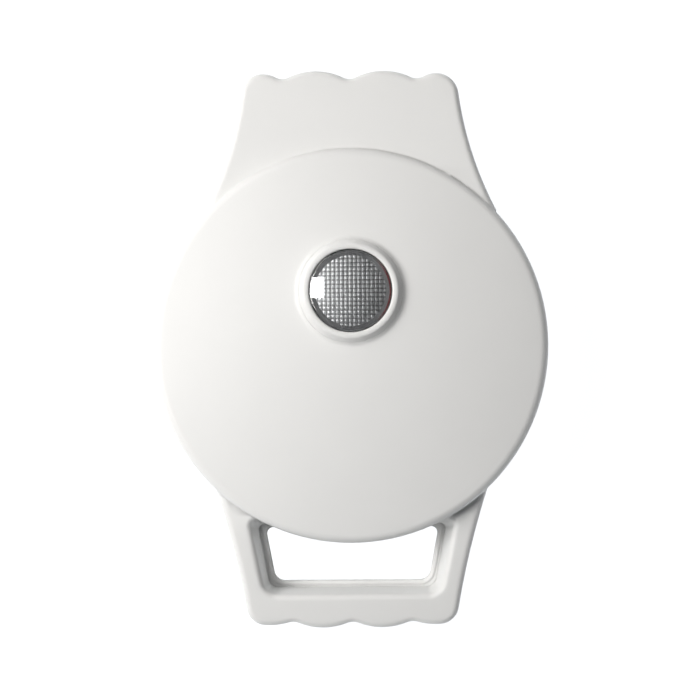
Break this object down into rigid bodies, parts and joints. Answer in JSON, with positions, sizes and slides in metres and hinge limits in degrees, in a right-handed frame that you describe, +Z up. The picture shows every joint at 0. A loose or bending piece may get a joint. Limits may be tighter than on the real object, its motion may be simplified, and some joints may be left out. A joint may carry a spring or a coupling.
{
  "type": "mini donut maker",
  "caption": "Round countertop cooker with a hinged lid, ring-shaped cavities in both cooking plates, a scalloped hinge end, a scalloped loop handle and a signal lens.",
  "frame": {"origin": "middle of the footprint, on the surface that the feet stand on", "axes": "+Z up, -Y towards the handle, +Y towards the hinge, +X to the right of someone who faces the handle"},
  "size_m": [0.193, 0.2696, 0.0905],
  "materials": {
    "shell": "satin white moulded plastic with a faint texture",
    "inner_frame": "black heat-resistant moulding, fine grain",
    "non_stick": "cast aluminium under a dark non-stick coating",
    "lens": "clear crowned lens with a grid of small prisms",
    "lamp_holder": "silver-grey moulded cup",
    "power_lamp": "red signal lamp",
    "ready_lamp": "green signal lamp",
    "screw_steel": "zinc-plated steel",
    "pin_steel": "ground steel pin",
    "heater_steel": "element sheath, dulled by heat",
    "terminal": "plated pin in an insulating bead",
    "sheet_steel": "aluminised sheet steel",
    "thermostat": "moulded body with plated fittings",
    "terminal_block": "insulating block",
    "cord_fitting": "white moulded bushing and clamp",
    "foot": "soft grey rubber"
  },
  "bodies": {
    "base": {"base_cover": "shell", "base_frame": "inner_frame", "base_screws": "screw_steel", "cord_bushing": "cord_fitting", "cord_clamp": "cord_fitting", "cord_clamp_screws": "screw_steel", "terminal_block": "terminal_block", "foot_front_left": "foot", "foot_front_right": "foot", "foot_rear_left": "foot", "foot_rear_right": "foot", "lower_plate": "non_stick", "lower_plate_clip_screws": "screw_steel", "lower_thermostat_screws": "screw_steel", "lower_heat_shield_screws": "screw_steel", "lower_heater": "heater_steel", "lower_heater_terminals": "terminal", "lower_plate_clips": "sheet_steel", "lower_heat_shield": "sheet_steel", "lower_thermostat": "thermostat"},
    "lid": {"lid_cover": "shell", "lid_frame": "inner_frame", "lid_screws": "screw_steel", "indicator_lens": "lens", "lamp_holder": "lamp_holder", "lamp_holder_screws": "screw_steel", "power_lamp": "power_lamp", "ready_lamp": "ready_lamp", "hinge_pin_left": "pin_steel", "hinge_pin_right": "pin_steel", "upper_plate": "non_stick", "upper_plate_clip_screws": "screw_steel", "upper_thermostat_screws": "screw_steel", "upper_heat_shield_screws": "screw_steel", "upper_heater": "heater_steel", "upper_heater_terminals": "terminal", "upper_plate_clips": "sheet_steel", "upper_heat_shield": "sheet_steel", "upper_thermostat": "thermostat"}
  },
  "joints": [
    {"name": "lid_hinge", "type": "hinge", "parent": "base", "child": "lid", "pos_m": [0, 0.12105, 0.046], "axis": [-1, 0, 0], "range_deg": [0, 100]}
  ]
}
